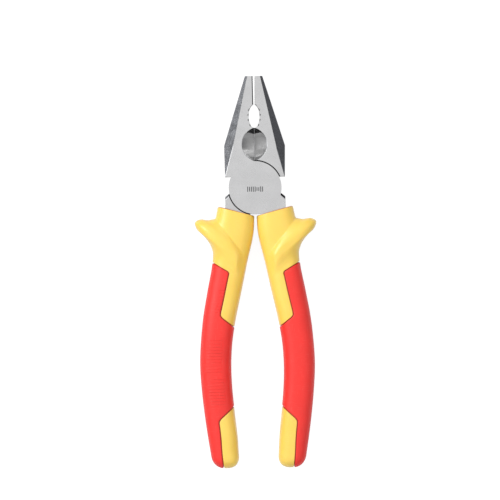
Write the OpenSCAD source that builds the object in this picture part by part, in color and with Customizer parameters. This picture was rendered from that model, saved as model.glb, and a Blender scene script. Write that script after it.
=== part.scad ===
// Insulated lineman (combination) pliers, lying flat with the jaws along +Y.
// Both forged halves are the same shape, turned half a turn about the Y axis.
// The origin is on the pivot axis, at the rear face of the head. Millimetres.

/* [Head] */
// Thickness of the head at the joint
head_t = 12; // [10:0.5:14]
// Radius of the round lap joint
disc_r = 13.5; // [12.5:0.25:14]
// Distance from the pivot to the jaw tips
jaw_len = 57; // [54:0.5:60]
// Half width of the closed head at the cheeks
cheek_x = 15.6; // [15:0.1:17]
// Distance from the pivot to the widest place of the cheeks
cheek_y = 21.5; // [18:0.5:25]
// Half width of the closed head at the tips
tip_x = 4.5; // [4:0.1:6]
// Thickness lost on each face between the cheeks and the tips
tip_taper = 1.3; // [0.5:0.1:2]
// Angle between the faces of the flat grip when the cutter's lips meet, in degrees
rest_opening = 1; // [0.6:0.1:3]

/* [Jaws] */
// Centre of the oval pipe grip, from the pivot
pipe_y = 36.6; // [36:0.1:38]
// Half width of the pipe grip
pipe_rx = 2.8; // [2.4:0.05:3.2]
// Half length of the pipe grip
pipe_ry = 6.15; // [5.8:0.05:6.4]
// Distance between the pipe grip's teeth
pipe_pitch = 2.55; // [2:0.05:2.8]
// Distance between the fine teeth of the flat grip
flat_pitch = 1; // [0.8:0.1:1.6]
// Centre of the cutter, from the pivot
cutter_y = 22.2; // [21.5:0.1:23]
// Gap left between the cutter's lips at rest
lip_gap = 0.06; // [0.04:0.01:0.2]
// Slope of the cutter's bevels to the cutting plane, in degrees
cutter_slope = 42; // [38:1:46]

/* [Joint] */
// Radius of the rivet's shank
rivet_r = 4.5; // [3.5:0.1:5]
// Radius of the rivet's countersunk head, flush with the rear face
rivet_head_r = 6.5; // [5.5:0.1:7.5]
// Steel left over the blind end of the rivet's seat
rivet_cover = 2.4; // [2:0.1:3]
// Gap between the joint disc and the shoulders around it
seam = 0.6; // [0.3:0.05:0.7]
// Gap between the two lap faces
lap = 0.08; // [0.04:0.01:0.12]

/* [Handles] */
// Thickness of the soft grip over the sleeve
grip_t = 1.6; // [1.2:0.1:2]
// Width of the sleeve left bare along the inner edge
bare_w = 8.4; // [7.5:0.1:9.5]
// Thickness of the tang inside the sleeve
tang_t = 8; // [6:0.5:9]
// Exponent of the handle's rounded cross-section
section_n = 2.8; // [2.2:0.1:3.4]

/* [Hidden] */
half_t = head_t / 2;
big = 80;
jaw_shoulder_y = 5.6;
face_x = tan(rest_opening / 2);   // how far a jaw face leans back, for each mm from the pivot
run_fit = 0.04;                   // running clearance around the rivet, in the rear half
countersink_h = 2;
steel_colour = "#c4c6c8";
yellow = "#f7d64f";
red = "#f23a33";

// Stations down the right handle: [y, inner edge x, outer edge x, half depth]
stations = [
    [  -8,  0.4, 19.0, 8.6],
    [ -23,  1.0, 21.8, 8.8],
    [ -38,  4.4, 22.4, 8.8],
    [ -53,  7.6, 25.2, 9.1],
    [ -66, 10.5, 27.5, 9.4],
    [ -78, 12.6, 28.8, 9.6],
    [ -90, 13.4, 29.4, 9.6],
    [-102, 13.1, 28.8, 9.4],
    [-115, 11.9, 27.5, 9.0],
    [-127, 10.6, 25.9, 8.4],
    [-136, 10.1, 24.5, 7.8]];
end_y = -136;
end_len = 7.4;
end_lean = 0.8;

// Rings of the collar and guard: [outer edge y, inner edge y, wing reach, wing lift, ridge height, inset]
guard_rings = [
    [ -9.4, -14.1, 0,   0,   0,   0.9],
    [ -9.9, -14.8, 0,   0,   0,   0],
    [-12.5, -20.0, 0,   0,   0,   0],
    [-14.3, -28.0, 0,   0,   0,   0],
    [-15.4, -36.3, 0.2, 0,   0,   0],
    [-16.2, -37.6, 3.0, 0.1, 0.5, 0],
    [-18.0, -38.8, 7.4, 2.3, 1.3, 0],
    [-20.8, -40.6, 9.7, 3.2, 1.8, 0],
    [-23.7, -42.6, 8.4, 2.9, 1.7, 0],
    [-26.9, -44.6, 4.3, 2.1, 1.1, 0],
    [-29.8, -46.4, 1.3, 0.8, 0.4, 0],
    [-33.5, -48.2, 0,   0,   0,   0],
    [-38.5, -50.2, 0,   0,   0,   0],
    [-44.0, -52.6, 0,   0,   0,   0],
    [-49.5, -55.2, 0,   0,   0,   0]];
ring_step = 6;
ring_n = 24;
cap_steps = [22, 42, 60, 76];

// Tang shoulder, and where the thick root of the tang ends inside the sleeve
shoulder = [[13.3, -2.9], [15.4, -4.6]];
root_end_y = -22;
tang_end_y = -122;
tang_inner_x = 2.6;

// ---- helpers ----

function unit(v) = v / norm(v);
function smooth_step(a, b, v) = let (t = min(1, max(0, (v - a) / (b - a)))) t * t * (3 - 2 * t);
function signed_pow(v, p) = sign(v) * pow(abs(v), p);

// Number of the station at or above y
function station_at(y, i = 0) =
    i >= len(stations) - 2 || y >= stations[i + 1][0] ? i : station_at(y, i + 1);

// Slope of column k at station i
function slope(i, k) = let (a = max(0, i - 1), b = min(len(stations) - 1, i + 1))
    (stations[b][k] - stations[a][k]) / (stations[b][0] - stations[a][0]);

// Column k of the stations at y, on a smooth curve through them
function along(y, k) =
    let (i = station_at(y), p = stations[i], q = stations[i + 1], h = q[0] - p[0],
         t = (y - p[0]) / h, t2 = t * t, t3 = t2 * t)
    (2 * t3 - 3 * t2 + 1) * p[k] + (t3 - 2 * t2 + t) * h * slope(i, k)
    + (3 * t2 - 2 * t3) * q[k] + (t3 - t2) * h * slope(i + 1, k);

function inner_x(y) = along(y, 1);
function outer_x(y) = along(y, 2);
function mid_x(y) = (inner_x(y) + outer_x(y)) / 2;

// Everything on the outer side of the plane through p, q and r, which the right-hand rule faces
module beyond_plane(p, q, r) {
    y = unit(q - p);
    n = unit(cross(q - p, r - p));
    x = cross(y, n);
    multmatrix([[x[0], y[0], n[0], p[0]], [x[1], y[1], n[1], p[1]], [x[2], y[2], n[2], p[2]],
                [0, 0, 0, 1]])
        translate([-big, -big, 0]) cube([2 * big, 2 * big, big]);
}

module both_faces() {
    children();
    mirror([0, 0, 1]) children();
}

// The half turn about Y that makes the rear half and the left handle
module other_half() rotate([0, 180, 0]) children();

module seated() translate([0, 0, half_t]) children();

// ---- forged steel ----

module jaw_block() {
    flank_z = 3;        // height of the flank's lowest corner over mid-thickness
    inner_chamfer = 0.5;
    lip_end_y = pipe_y - pipe_ry + 0.8;   // the cutter's lips end in the pipe grip
    tip_z = half_t - tip_taper;
    difference() {
        linear_extrude(head_t, center = true) polygon([
            [-lip_gap / 2, 10], [-lip_gap / 2, lip_end_y], [-lip_end_y * face_x, lip_end_y],
            [-jaw_len * face_x, jaw_len], [-tip_x, jaw_len],
            [-cheek_x, cheek_y], [-15.3, jaw_shoulder_y], [-9, jaw_shoulder_y]]);
        // faces that thin towards the tips, and the ground flanks
        both_faces() {
            beyond_plane([0, 20, half_t], [10, 20, half_t], [0, jaw_len, tip_z]);
            beyond_plane([-3.7, 55.3, tip_z], [-cheek_x, cheek_y, flank_z], [-15.05, 6, half_t]);
        }
        // the gripping edge is chamfered on one face only
        beyond_plane([-20 * face_x, 20, half_t - inner_chamfer],
                     [-jaw_len * face_x, jaw_len, tip_z - inner_chamfer],
                     [-jaw_len * face_x - inner_chamfer, jaw_len, tip_z]);
    }
}

// The tang's outline between y and its end: one edge, side -1 for the inner and 1 for the outer
function tang_edge(side) = [for (y = [-26 : -12 : tang_end_y])
    [mid_x(y) + side * (5.2 + 0.018 * (y + 26)), y]];
function flipped(v) = [for (i = [len(v) - 1 : -1 : 0]) v[i]];

module tang_bar() {
    linear_extrude(tang_t, center = true) polygon(concat(
        [[shoulder[1][0], -16]], tang_edge(1), flipped(tang_edge(-1)), [[tang_inner_x, -16]]));
}

module tang_root() {
    linear_extrude(head_t, center = true) polygon([
        [0, 0], shoulder[0], shoulder[1], [shoulder[1][0], root_end_y], [5.4, root_end_y],
        [tang_inner_x, -17], [tang_inner_x, -12]]);
}

module tang_block() {
    difference() {
        union() {
            tang_root();
            tang_bar();
        }
        both_faces() beyond_plane([12.6, -3.8, half_t], [14.7, -5.5, half_t],
                                  [shoulder[1][0], shoulder[1][1], half_t - 1.1]);
    }
}

// Hollow-ground bevel of one side of one cutter, with round end walls
module cutter_scoop() {
    grind_r = 19;
    edge_z = 0.15;
    wall = 1 / tan(65);
    face_r = 8.9;
    depth = half_t - edge_z;
    over = 2;
    intersection() {
        translate([0, cutter_y, edge_z] + grind_r * [sin(cutter_slope), 0, cos(cutter_slope)])
            rotate([0, 90 + cutter_slope, 0]) cylinder(r = grind_r, h = big, center = true, $fn = 96);
        translate([2.4, cutter_y, edge_z])
            cylinder(r1 = face_r - depth * wall, r2 = face_r + over * wall, h = depth + over, $fn = 96);
        translate([-20, cutter_y - 20, 0]) cube([20, 40, 20]);
    }
}

// Vee grooves in the wall of the pipe grip, deepest at the faces and gone at mid-thickness
module pipe_teeth() {
    groove = 1.3;
    lean = 8;
    for (i = [-2 : 1]) {
        y = pipe_pitch * (i + 0.18);
        x = pipe_rx * sqrt(1 - pow(y / pipe_ry, 2));
        both_faces() translate([groove / sqrt(2) - x, pipe_y + y, 0]) rotate([0, -lean, 0]) rotate(45)
            cube([groove, groove, 2 * head_t], center = true);
    }
}

// Fine vee grooves across the flat grip
module flat_teeth() {
    groove = 0.4;
    for (y = [pipe_y + pipe_ry + 1 : flat_pitch : jaw_len - 0.8])
        translate([-y * face_x, y, 0]) rotate(45) cube([groove, groove, 2 * head_t], center = true);
}

module pipe_oval() {
    linear_extrude(2 * head_t, center = true) translate([0, pipe_y])
        polygon([for (a = [0 : 7.5 : 359]) [pipe_rx * cos(a), pipe_ry * sin(a)]]);
}

// One forging: left jaw, lap disc on the +Z side and right tang
module forging() {
    difference() {
        union() {
            difference() {
                union() {
                    jaw_block();
                    tang_block();
                }
                translate([0, 0, -head_t]) cylinder(r = disc_r + seam, h = head_t + lap / 2, $fn = 128);
            }
            translate([0, 0, lap / 2]) cylinder(r = disc_r, h = half_t - lap / 2, $fn = 128);
        }
        both_faces() cutter_scoop();
        pipe_oval();
        pipe_teeth();
        flat_teeth();
    }
}

// Front half: the rivet seats in a blind hole from the lap face
module front_jaw_half() {
    color(steel_colour) difference() {
        forging();
        translate([0, 0, -head_t]) cylinder(r = rivet_r, h = head_t + half_t - rivet_cover, $fn = 64);
    }
}

// Rear half: it turns on the rivet, whose head lies in a countersink
module rear_jaw_half() {
    bore_r = rivet_r + run_fit;
    sink_z = half_t - countersink_h - run_fit;
    color(steel_colour) other_half() difference() {
        forging();
        translate([0, 0, -head_t]) cylinder(r = bore_r, h = 2 * head_t, $fn = 64);
        translate([0, 0, sink_z]) cylinder(r1 = bore_r, r2 = bore_r + (rivet_head_r - rivet_r) * 1.5,
                                          h = countersink_h * 1.5, $fn = 64);
    }
}

module pivot_rivet() {
    color("#b2b4b6") rotate_extrude($fn = 64) polygon([
        [0, half_t - rivet_cover], [rivet_r, half_t - rivet_cover],
        [rivet_r, countersink_h - half_t], [rivet_head_r, -half_t], [0, -half_t]]);
}

// ---- insulated handle ----

// One ring of the handle, between its outer and inner edge heights, made smaller by inset
function ring(yo, yi, reach, lift, ridge, inset) =
    let (xo = outer_x(yo) - inset, xi = inner_x(yi) + inset, c = (xo + xi) / 2, a = (xo - xi) / 2,
         b = along((yo + yi) / 2, 3) - inset)
    [for (i = [0 : ring_n - 1])
        let (q = 360 * i / ring_n, sx = signed_pow(cos(q), 2 / section_n),
             sz = signed_pow(sin(q), 2 / section_n),
             side = pow(max(0, cos(q)), 0.8), face = smooth_step(-0.8, -0.45, sx))
        [c + a * sx + reach * side, (yo + yi) / 2 + (yo - yi) / 2 * sx + lift * side,
         (b + ridge * face) * sz]];

// A ring of the round end, at an angle from its start
function cap_ring(q, inset) =
    let (s = pow(cos(q), 0.83), d = pow(sin(q), 0.83), c = mid_x(end_y) - end_lean * d,
         a = (outer_x(end_y) - mid_x(end_y) - inset) * s, b = (along(end_y, 3) - inset) * s)
    [for (i = [0 : ring_n - 1])
        let (t = 360 * i / ring_n)
        [c + a * signed_pow(cos(t), 2 / section_n), end_y - (end_len - inset) * d,
         b * signed_pow(sin(t), 2 / section_n)]];

function plain_rings(from, inset) =
    [for (y = [from : -ring_step : end_y]) ring(y, y, 0, 0, 0, inset)];
function cap_rings(inset) = [for (q = cap_steps) cap_ring(q, inset)];

// A closed solid through the rings, which run towards -Y
module loft(rings) {
    n = ring_n;
    m = len(rings);
    polyhedron(
        points = [for (r = rings) each r],
        faces = concat(
            [for (i = [0 : m - 2], j = [0 : n - 1], k = [0, 1])
                let (a = i * n + j, b = i * n + (j + 1) % n, c = a + n, d = b + n)
                k == 0 ? [a, d, b] : [a, c, d]],
            [[for (j = [0 : n - 1]) j]],
            [[for (j = [n - 1 : -1 : 0]) (m - 1) * n + j]]));
}

module handle_skin() {
    loft(concat([for (g = guard_rings) ring(g[0], g[1], g[2], g[3], g[4], g[5])],
                plain_rings(-56, 0), cap_rings(0)));
}

// The hard core under the soft grip, a chain of short convex pieces
module handle_core() {
    rings = concat(plain_rings(-36, grip_t), cap_rings(grip_t));
    for (i = [0 : len(rings) - 2]) hull() loft([rings[i], rings[i + 1]]);
}

// Area that the soft grip covers, seen square to the faces of the tool
module grip_area() {
    bare = [for (y = [-45 : -6 : -63]) [inner_x(y) + bare_w, y]];
    tail = [for (y = [-121 : -6 : -133]) [inner_x(y) + bare_w + 0.2, y]];
    linear_extrude(big, center = true) polygon(concat(
        [[40, -32], [22.9, -37.8], [14.6, -42.6], [13.9, -43.6]], bare,
        [[18.6, -65], [17.6, -66.4], [0, -79.8], [0, -101], [18.9, -117.6], [20, -119.2]], tail,
        [[17.4, -150], [40, -150]]));
}

module sleeve() {
    color(yellow) difference() {
        union() {
            difference() {
                handle_skin();
                grip_area();
            }
            handle_core();
        }
        tang_root();
        tang_bar();
    }
}

module soft_grip() {
    color(red) difference() {
        intersection() {
            handle_skin();
            grip_area();
        }
        handle_core();
    }
}

seated() front_jaw_half();
seated() rear_jaw_half();
seated() pivot_rivet();
seated() sleeve();  // right_sleeve
seated() other_half() sleeve();  // left_sleeve
seated() soft_grip();  // right_soft_grip
seated() other_half() soft_grip();  // left_soft_grip
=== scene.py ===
import math

import bmesh
import bpy
import numpy as np
from bpy.props import FloatProperty, FloatVectorProperty, IntProperty, PointerProperty
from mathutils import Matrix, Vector


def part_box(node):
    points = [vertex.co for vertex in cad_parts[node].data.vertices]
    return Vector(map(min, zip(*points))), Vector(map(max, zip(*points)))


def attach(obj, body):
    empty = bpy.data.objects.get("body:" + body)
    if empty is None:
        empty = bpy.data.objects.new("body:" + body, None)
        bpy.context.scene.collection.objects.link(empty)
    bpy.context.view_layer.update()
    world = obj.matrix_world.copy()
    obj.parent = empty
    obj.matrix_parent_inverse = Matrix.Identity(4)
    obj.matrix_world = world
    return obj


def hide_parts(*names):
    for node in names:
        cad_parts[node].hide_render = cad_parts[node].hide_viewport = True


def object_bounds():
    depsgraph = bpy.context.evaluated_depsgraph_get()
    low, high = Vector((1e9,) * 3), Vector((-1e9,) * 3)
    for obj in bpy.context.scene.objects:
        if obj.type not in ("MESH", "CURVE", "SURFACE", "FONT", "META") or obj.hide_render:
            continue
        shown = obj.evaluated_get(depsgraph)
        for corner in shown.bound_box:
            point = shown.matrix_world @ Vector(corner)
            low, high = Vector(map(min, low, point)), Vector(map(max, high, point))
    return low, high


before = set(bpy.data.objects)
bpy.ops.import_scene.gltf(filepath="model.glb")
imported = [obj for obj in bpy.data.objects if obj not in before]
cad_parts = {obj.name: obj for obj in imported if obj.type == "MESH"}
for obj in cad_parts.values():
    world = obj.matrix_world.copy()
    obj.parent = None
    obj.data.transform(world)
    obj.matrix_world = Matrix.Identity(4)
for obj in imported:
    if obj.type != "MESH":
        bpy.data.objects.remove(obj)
CAD_BOX = [list(corner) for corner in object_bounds()]

bl_info = {
    "name": "Insulated Lineman Pliers",
    "version": (1, 0, 0),
    "blender": (4, 5, 0),
    "location": "View3D > Sidebar > Pliers",
    "description": "Builds the jaws, the handles and the studio of a pair of insulated pliers",
    "category": "Object",
}

MM = 0.001
HALF_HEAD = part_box("front_jaw_half")[1].z / 2

# Places on the head, in metres from the pivot
CUTTER_Y, CUTTER_REACH = 22.2 * MM, 10.6 * MM
GRIP_HALF_WIDTH, GRIP_START_Y = 3.8 * MM, 28 * MM
LAP_INNER_R, LAP_OUTER_R = 13.3 * MM, 14.15 * MM
OPEN_SIDE_Y = (-3.2 * MM, 5.6 * MM)      # where the lap disc's side wall is in the open
STAMP_Y = -0.8 * MM
RIVET_SHANK_R = 4.5 * MM
RIVET_TURNS = 96

# For joining up and rounding the forging
SAME_PLACE = 2e-6                        # points this close are joined
DISSOLVE_DEGREES = 0.5                   # faces this nearly level become one
BEVEL_DEGREES = 28                       # edges sharper than this are rounded
SHORT_EDGE = 0.25 * MM                   # edges shorter than this are left alone
FORGED_SMOOTH_DEGREES = 24               # edges sharper than this are shaded sharp
FLAT_DEGREES = 0.3                       # the same, beside a flat
BIG_FACE = 1e-5                          # a flank with more area than this counts as flat


# ---- settings ----

class SteelSettings(bpy.types.PropertyGroup):
    face_colour: FloatVectorProperty(
        name="Face Colour", description="Colour of the ground faces of the head",
        subtype="COLOR", size=3, min=0, max=1, default=(0.582, 0.582, 0.587))
    flank_colour: FloatVectorProperty(
        name="Flank Colour", description="Colour of the forged flanks of the jaws",
        subtype="COLOR", size=3, min=0, max=1, default=(0.275, 0.283, 0.30))
    cut_colour: FloatVectorProperty(
        name="Cut Colour", description="Colour of the machined cutters and teeth",
        subtype="COLOR", size=3, min=0, max=1, default=(0.54, 0.54, 0.54))
    edge_rounding: FloatProperty(
        name="Edge Rounding", description="Width of the bevel along the forging's edges",
        subtype="DISTANCE", unit="LENGTH", min=0, max=0.001, default=0.00016)
    mark_count: IntProperty(
        name="Mark Strokes", description="Number of strokes in the stamp over the pivot",
        min=2, max=20, default=9)
    mark_spacing: FloatProperty(
        name="Mark Spacing", description="Distance between the strokes of the stamp",
        subtype="DISTANCE", unit="LENGTH", min=0.0005, max=0.002, default=0.00095)
    mark_height: FloatProperty(
        name="Mark Height", description="Height of the longest stroke of the stamp",
        subtype="DISTANCE", unit="LENGTH", min=0.001, max=0.005, default=0.0028)


class HandleSettings(bpy.types.PropertyGroup):
    sleeve_colour: FloatVectorProperty(
        name="Sleeve Colour", description="Colour of the hard moulded sleeves",
        subtype="COLOR", size=3, min=0, max=1, default=(0.95, 0.66, 0.128))
    grip_colour: FloatVectorProperty(
        name="Grip Colour", description="Colour of the soft moulded grips",
        subtype="COLOR", size=3, min=0, max=1, default=(0.90, 0.034, 0.026))
    seam_width: FloatProperty(
        name="Seam Width", description="Width of the groove between sleeve and grip",
        subtype="DISTANCE", unit="LENGTH", min=0.0001, max=0.002, default=0.00045)
    rib_length: FloatProperty(
        name="Rib Length", description="Length of the raised ribs on the grip",
        subtype="DISTANCE", unit="LENGTH", min=0.001, max=0.012, default=0.0078)
    rib_spacing: FloatProperty(
        name="Rib Spacing", description="Distance between the raised ribs",
        subtype="DISTANCE", unit="LENGTH", min=0.001, max=0.004, default=0.0016)


class StudioSettings(bpy.types.PropertyGroup):
    camera_height: FloatProperty(
        name="Camera Height", description="Distance from the camera to the middle of the head",
        subtype="DISTANCE", unit="LENGTH", min=0.5, max=4, default=1.4)
    view_width: FloatProperty(
        name="View Width", description="Width that the camera takes in at the tool",
        subtype="DISTANCE", unit="LENGTH", min=0.1, max=1, default=0.256)
    sky_level: FloatProperty(
        name="Sky Level", description="Strength of the even light from all round",
        min=0, max=2, default=0.80)
    key_power: FloatProperty(
        name="Key Power", description="Power of the soft key light at the upper left",
        subtype="POWER", unit="POWER", min=0, max=100, default=10.3)


# ---- mesh helpers ----

def finished_piece(name, mesh, body, slot, material, *replaced):
    """Puts a finished mesh in the scene, riding on its body and standing for its CAD nodes."""
    piece = bpy.data.objects.new(name, mesh)
    bpy.context.scene.collection.objects.link(piece)
    mesh.materials.clear()
    mesh.materials.append(material)
    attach(piece, body)
    if replaced:
        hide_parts(*replaced)
    return piece


def mesh_of(bm, name, sharp_degrees):
    """A mesh from bm, shaded smooth except along edges sharper than the given angle."""
    mesh = bpy.data.meshes.new(name)
    bm.to_mesh(mesh)
    bm.free()
    mesh.shade_smooth()
    mesh.set_sharp_from_angle(angle=math.radians(sharp_degrees))
    return mesh


def crease_flats(mesh, sharp_degrees):
    """Shades the mesh smooth, but keeps each face marked as planar flat up to its edges."""
    mesh.shade_smooth()
    bm = bmesh.new()
    bm.from_mesh(mesh)
    planar = bm.faces.layers.float["planar"]
    for edge in bm.edges:
        if len(edge.link_faces) == 2:
            angle = math.degrees(edge.calc_face_angle(0.0))
            by_flat = any(face[planar] > 0.5 for face in edge.link_faces)
            edge.smooth = angle < (FLAT_DEGREES if by_flat else sharp_degrees)
    bm.to_mesh(mesh)
    bm.free()


def evaluated_mesh(piece, name):
    """The piece's mesh with its modifiers applied."""
    graph = bpy.context.evaluated_depsgraph_get()
    mesh = bpy.data.meshes.new_from_object(piece.evaluated_get(graph), depsgraph=graph)
    mesh.name = name
    return mesh


def set_face_values(mesh, name, values):
    """Stores one number for each face, for the materials to read."""
    layer = mesh.attributes.new(name, "FLOAT", "FACE")
    layer.data.foreach_set("value", np.asarray(values, np.float32))


# ---- node helpers ----

def group_tree(name, kind, inputs, outputs):
    """An empty node group with those named sockets, as (tree, input node, output node)."""
    tree = bpy.data.node_groups.new(name, kind)
    for label, socket_type, default in inputs:
        socket = tree.interface.new_socket(label, in_out="INPUT", socket_type=socket_type)
        if default is not None:
            socket.default_value = default
    for label, socket_type in outputs:
        tree.interface.new_socket(label, in_out="OUTPUT", socket_type=socket_type)
    return tree, tree.nodes.new("NodeGroupInput"), tree.nodes.new("NodeGroupOutput")


def add(tree, kind, **settings):
    """A node of that kind. Settings name its properties, or its inputs by name or number."""
    node = tree.nodes.new(kind)
    links = {}
    for key, value in settings.items():
        if hasattr(node, key):
            setattr(node, key, value)
        else:
            links[key] = value
    for key, value in links.items():
        label = int(key[2:]) if key.startswith("in") and key[2:].isdigit() else key.replace("_", " ")
        socket = node.inputs[label]
        if isinstance(value, bpy.types.NodeSocket):
            tree.links.new(value, socket)
        else:
            socket.default_value = value
    return node


def maths(tree, operation, first, second):
    """The result of a sum on two values, each a socket or a number."""
    node = tree.nodes.new("ShaderNodeMath")
    node.operation = operation
    for socket, value in zip(node.inputs, (first, second)):
        if isinstance(value, bpy.types.NodeSocket):
            tree.links.new(value, socket)
        else:
            socket.default_value = value
    return node.outputs[0]


def blend_colours(tree, factor, first, second):
    """The first colour where the factor is 0 and the second where it is 1."""
    node = tree.nodes.new("ShaderNodeMix")
    node.data_type = "RGBA"
    node.clamp_factor = True
    for socket, value in ((node.inputs[0], factor), (node.inputs[6], first), (node.inputs[7], second)):
        if isinstance(value, bpy.types.NodeSocket):
            tree.links.new(value, socket)
        elif isinstance(value, (int, float)):
            socket.default_value = value
        else:
            socket.default_value = (*value[:3], 1.0)
    return node.outputs[2]


def remapped(tree, value, low, high, to_low, to_high):
    """The value moved from the range low to high into the range to_low to to_high."""
    node = add(tree, "ShaderNodeMapRange", clamp=True)
    tree.links.new(value, node.inputs[0])
    for socket, number in zip(node.inputs[1:5], (low, high, to_low, to_high)):
        socket.default_value = number
    return node.outputs[0]


# ---- shared surface effects ----

def grain_group():
    """Fine grain, with a coarse mottle under it, stretched by its own lay."""
    name = "Surface Grain"
    if name in bpy.data.node_groups:
        return bpy.data.node_groups[name]
    tree, entry, out = group_tree(
        name, "ShaderNodeTree",
        [("Lay", "NodeSocketVector", (1, 1, 1)), ("Fine Scale", "NodeSocketFloat", 2500.0),
         ("Coarse Scale", "NodeSocketFloat", 180.0)],
        [("Height", "NodeSocketFloat"), ("Mottle", "NodeSocketFloat")])
    place = add(tree, "ShaderNodeTexCoord")
    lay = add(tree, "ShaderNodeMapping", Vector=place.outputs["Object"], Scale=entry.outputs["Lay"])
    fine = add(tree, "ShaderNodeTexNoise", Vector=lay.outputs[0], Scale=entry.outputs["Fine Scale"],
               Detail=3.0, Roughness=0.6)
    coarse = add(tree, "ShaderNodeTexNoise", Vector=place.outputs["Object"],
                 Scale=entry.outputs["Coarse Scale"], Detail=2.0, Roughness=0.5)
    tree.links.new(fine.outputs[0], out.inputs["Height"])
    tree.links.new(coarse.outputs[0], out.inputs["Mottle"])
    return tree


def scuff_group():
    """Sparse short scratches and scuffs, as a mask."""
    name = "Fine Scuffs"
    if name in bpy.data.node_groups:
        return bpy.data.node_groups[name]
    tree, entry, out = group_tree(
        name, "ShaderNodeTree",
        [("Scale", "NodeSocketFloat", 260.0), ("Amount", "NodeSocketFloat", 0.3)],
        [("Mask", "NodeSocketFloat")])
    place = add(tree, "ShaderNodeTexCoord")
    lines = None
    for turn, stretch in ((0.5, (1.0, 9.0, 1.0)), (-0.9, (8.0, 1.0, 1.0))):
        lay = add(tree, "ShaderNodeMapping", Vector=place.outputs["Object"], Scale=stretch,
                  Rotation=(0, 0, turn))
        noise = add(tree, "ShaderNodeTexNoise", Vector=lay.outputs[0], Scale=entry.outputs["Scale"],
                    Detail=2.0)
        line = remapped(tree, noise.outputs[0], 0.62, 0.74, 0.0, 1.0)
        lines = line if lines is None else maths(tree, "MAXIMUM", lines, line)
    mask = maths(tree, "MULTIPLY", lines, entry.outputs["Amount"])
    tree.links.new(mask, out.inputs["Mask"])
    return tree


def new_material(name):
    """A material with an empty tree, as (material, tree, shader)."""
    material = bpy.data.materials.get(name)
    if material:
        bpy.data.materials.remove(material)
    material = bpy.data.materials.new(name)
    material.use_nodes = True
    tree = material.node_tree
    tree.nodes.clear()
    shader = tree.nodes.new("ShaderNodeBsdfPrincipled")
    out = tree.nodes.new("ShaderNodeOutputMaterial")
    tree.links.new(shader.outputs[0], out.inputs[0])
    return material, tree, shader


def placed(tree, group, **values):
    """The shared group as a node in the tree, with its own values."""
    node = tree.nodes.new("ShaderNodeGroup")
    node.node_tree = group
    for key, value in values.items():
        node.inputs[key.replace("_", " ")].default_value = value
    return node


def soften(shader, reach):
    """Lets a little light spread under a plastic's surface, that far for red, green and blue."""
    shader.inputs["Subsurface Weight"].default_value = 0.25
    shader.inputs["Subsurface Radius"].default_value = reach
    shader.inputs["Subsurface Scale"].default_value = 1.0


def steel_material(steel):
    """Forged steel: ground faces, darker forged flanks, machined cuts, edges lightened by wear and a
    painted highlight, and painted shade in the seams, the pipe grip and the stamp.
    """
    material, tree, shader = new_material("forged_steel")
    ground = add(tree, "ShaderNodeAttribute", attribute_name="ground").outputs["Fac"]
    cut = add(tree, "ShaderNodeAttribute", attribute_name="machined").outputs["Fac"]
    rim = add(tree, "ShaderNodeAttribute", attribute_name="rim").outputs["Fac"]
    sooty = add(tree, "ShaderNodeAttribute", attribute_name="sooty").outputs["Fac"]
    worked = maths(tree, "MAXIMUM", ground, cut)
    raw = maths(tree, "SUBTRACT", 1.0, worked)
    lapped = placed(tree, grain_group(), Lay=(1.0, 0.35, 1.0), Fine_Scale=3600.0, Coarse_Scale=110.0)
    pitted = placed(tree, grain_group(), Lay=(1.0, 1.0, 1.0), Fine_Scale=2600.0, Coarse_Scale=300.0)
    scuffs = placed(tree, scuff_group(), Scale=420.0, Amount=0.35)
    base = blend_colours(tree, ground, steel.flank_colour, steel.face_colour)
    base = blend_colours(tree, cut, base, steel.cut_colour)
    speck = remapped(tree, pitted.outputs["Height"], 0.34, 0.62, 0.72, 1.22)
    soft = remapped(tree, lapped.outputs["Height"], 0.3, 0.7, 0.95, 1.05)
    shade = maths(tree, "ADD", maths(tree, "MULTIPLY", worked, soft),
                  maths(tree, "MULTIPLY", raw, speck))
    mottle = remapped(tree, lapped.outputs["Mottle"], 0.3, 0.7, 0.965, 1.03)
    scale = add(tree, "ShaderNodeVectorMath", operation="SCALE", in0=base)
    tree.links.new(maths(tree, "MULTIPLY", shade, mottle), scale.inputs["Scale"])
    # edges lightened partly as wear and partly as a painted highlight along the bevels
    wear_and_highlight = maths(tree, "MULTIPLY", rim, 0.35)
    base = blend_colours(tree, wear_and_highlight, scale.outputs[0], (0.72, 0.72, 0.72))
    scuffed = maths(tree, "MULTIPLY", scuffs.outputs[0], 0.25)
    base = blend_colours(tree, scuffed, base, (0.45, 0.45, 0.46))
    # painted shade: near black in the lap seam, on the pipe grip's walls and in the stamp's strokes
    base = blend_colours(tree, sooty, base, (0.012, 0.012, 0.013))
    tree.links.new(base, shader.inputs["Base Color"])
    rough = maths(tree, "ADD", remapped(tree, pitted.outputs["Mottle"], 0.3, 0.7, 0.25, 0.33),
                  maths(tree, "MULTIPLY", cut, 0.12))
    rough = maths(tree, "SUBTRACT", rough, maths(tree, "MULTIPLY", raw, 0.04))
    rough = maths(tree, "ADD", rough, maths(tree, "MULTIPLY", rim, 0.22))
    tree.links.new(rough, shader.inputs["Roughness"])
    height = maths(tree, "ADD", maths(tree, "MULTIPLY", lapped.outputs["Height"], 0.5),
                   maths(tree, "MULTIPLY", pitted.outputs["Height"],
                         maths(tree, "ADD", raw, 0.25)))
    bump = add(tree, "ShaderNodeBump", Strength=0.22, Distance=0.00004, Height=height)
    tree.links.new(bump.outputs[0], shader.inputs["Normal"])
    shader.inputs["Metallic"].default_value = 1.0
    return material


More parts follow.
